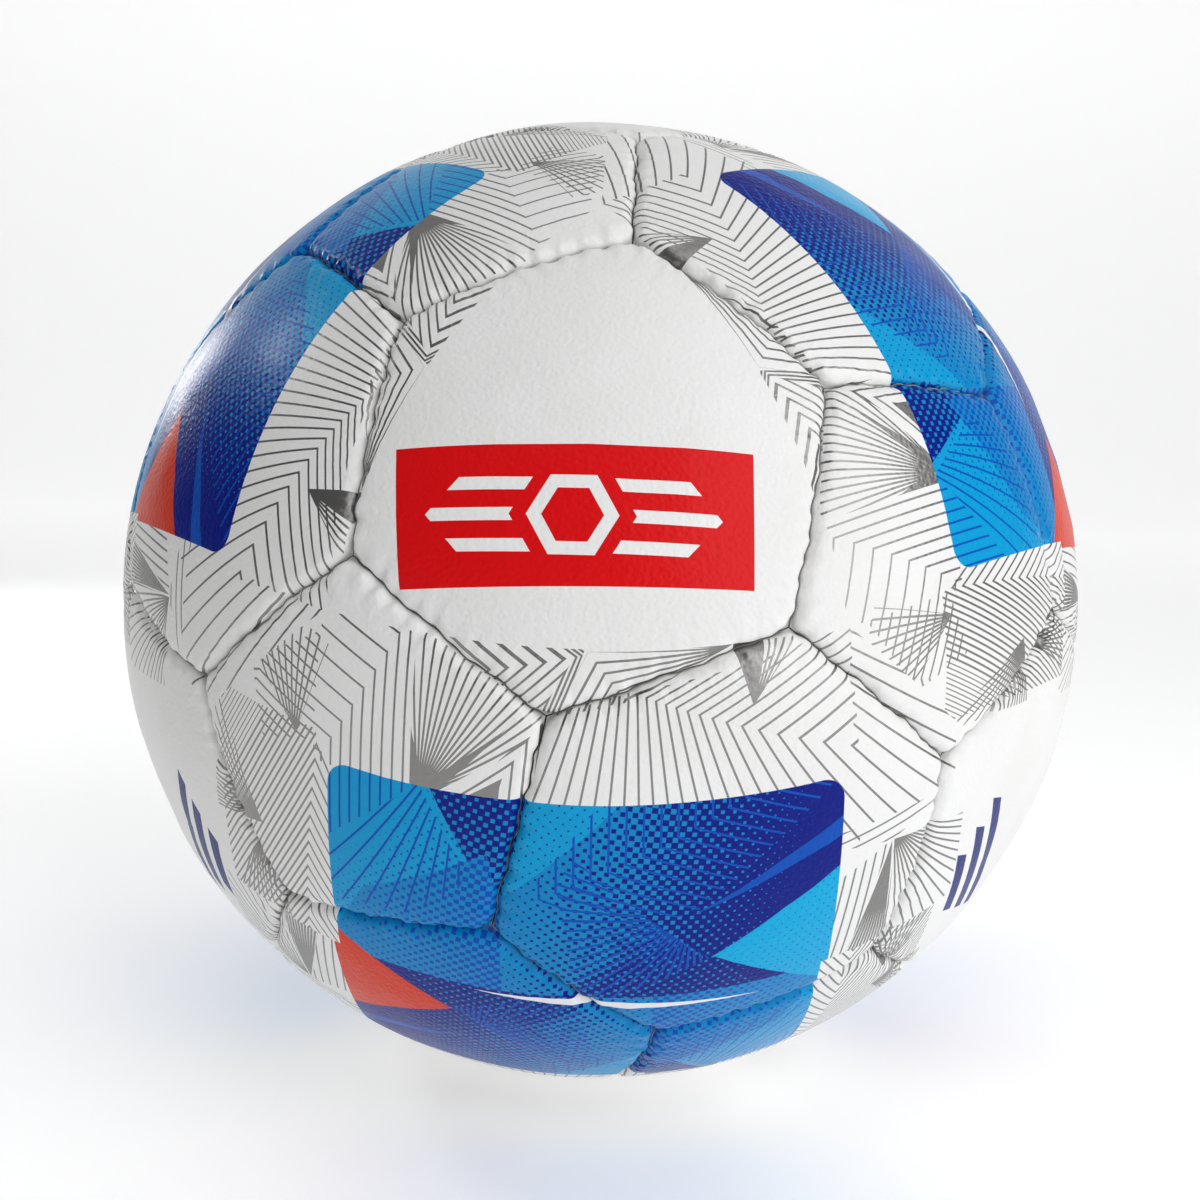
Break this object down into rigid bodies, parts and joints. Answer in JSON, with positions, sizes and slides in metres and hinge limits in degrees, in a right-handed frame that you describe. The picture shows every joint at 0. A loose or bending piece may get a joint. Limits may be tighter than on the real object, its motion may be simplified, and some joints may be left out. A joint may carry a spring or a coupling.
{
  "type": "football",
  "caption": "Round hand-stitched football with white pebble-grain panels, silver line print, blue halftone patches and a needle valve.",
  "frame": {"origin": "centre of the ball", "axes": "+Z out through the valve, -Y out under the front hexagon panel, whose centre is 19.5 degrees above -Y; +X completes the right-handed frame"},
  "size_m": [0.2198, 0.2194, 0.2197],
  "materials": {
    "panel_cover": "semi-gloss pebble-grain synthetic leather, printed, laminated to a cloth lining",
    "waxed_thread": "waxed polyester thread",
    "bladder_latex": "matt natural latex",
    "patch_rubber": "matt black rubber sheet",
    "patch_cloth": "plain woven cotton",
    "valve_rubber": "satin moulded rubber",
    "core_rubber": "satin soft rubber"
  },
  "bodies": {
    "root": {"valve_panel": "panel_cover", "hexagon_panel_01": "panel_cover", "hexagon_panel_02": "panel_cover", "hexagon_panel_03": "panel_cover", "hexagon_panel_04": "panel_cover", "hexagon_panel_05": "panel_cover", "hexagon_panel_06": "panel_cover", "hexagon_panel_07": "panel_cover", "hexagon_panel_08": "panel_cover", "hexagon_panel_09": "panel_cover", "hexagon_panel_10": "panel_cover", "hexagon_panel_11": "panel_cover", "hexagon_panel_12": "panel_cover", "hexagon_panel_13": "panel_cover", "hexagon_panel_14": "panel_cover", "hexagon_panel_15": "panel_cover", "hexagon_panel_16": "panel_cover", "hexagon_panel_17": "panel_cover", "hexagon_panel_18": "panel_cover", "hexagon_panel_19": "panel_cover", "pentagon_panel_01": "panel_cover", "pentagon_panel_02": "panel_cover", "pentagon_panel_03": "panel_cover", "pentagon_panel_04": "panel_cover", "pentagon_panel_05": "panel_cover", "pentagon_panel_06": "panel_cover", "pentagon_panel_07": "panel_cover", "pentagon_panel_08": "panel_cover", "pentagon_panel_09": "panel_cover", "pentagon_panel_10": "panel_cover", "pentagon_panel_11": "panel_cover", "pentagon_panel_12": "panel_cover", "stitching_valve_half": "waxed_thread", "stitching_far_half": "waxed_thread", "stitching_closing_seam": "waxed_thread", "bladder": "bladder_latex", "bladder_patch": "patch_rubber", "panel_patch": "patch_cloth", "valve_housing": "valve_rubber", "valve_core": "core_rubber"}
  },
  "joints": []
}
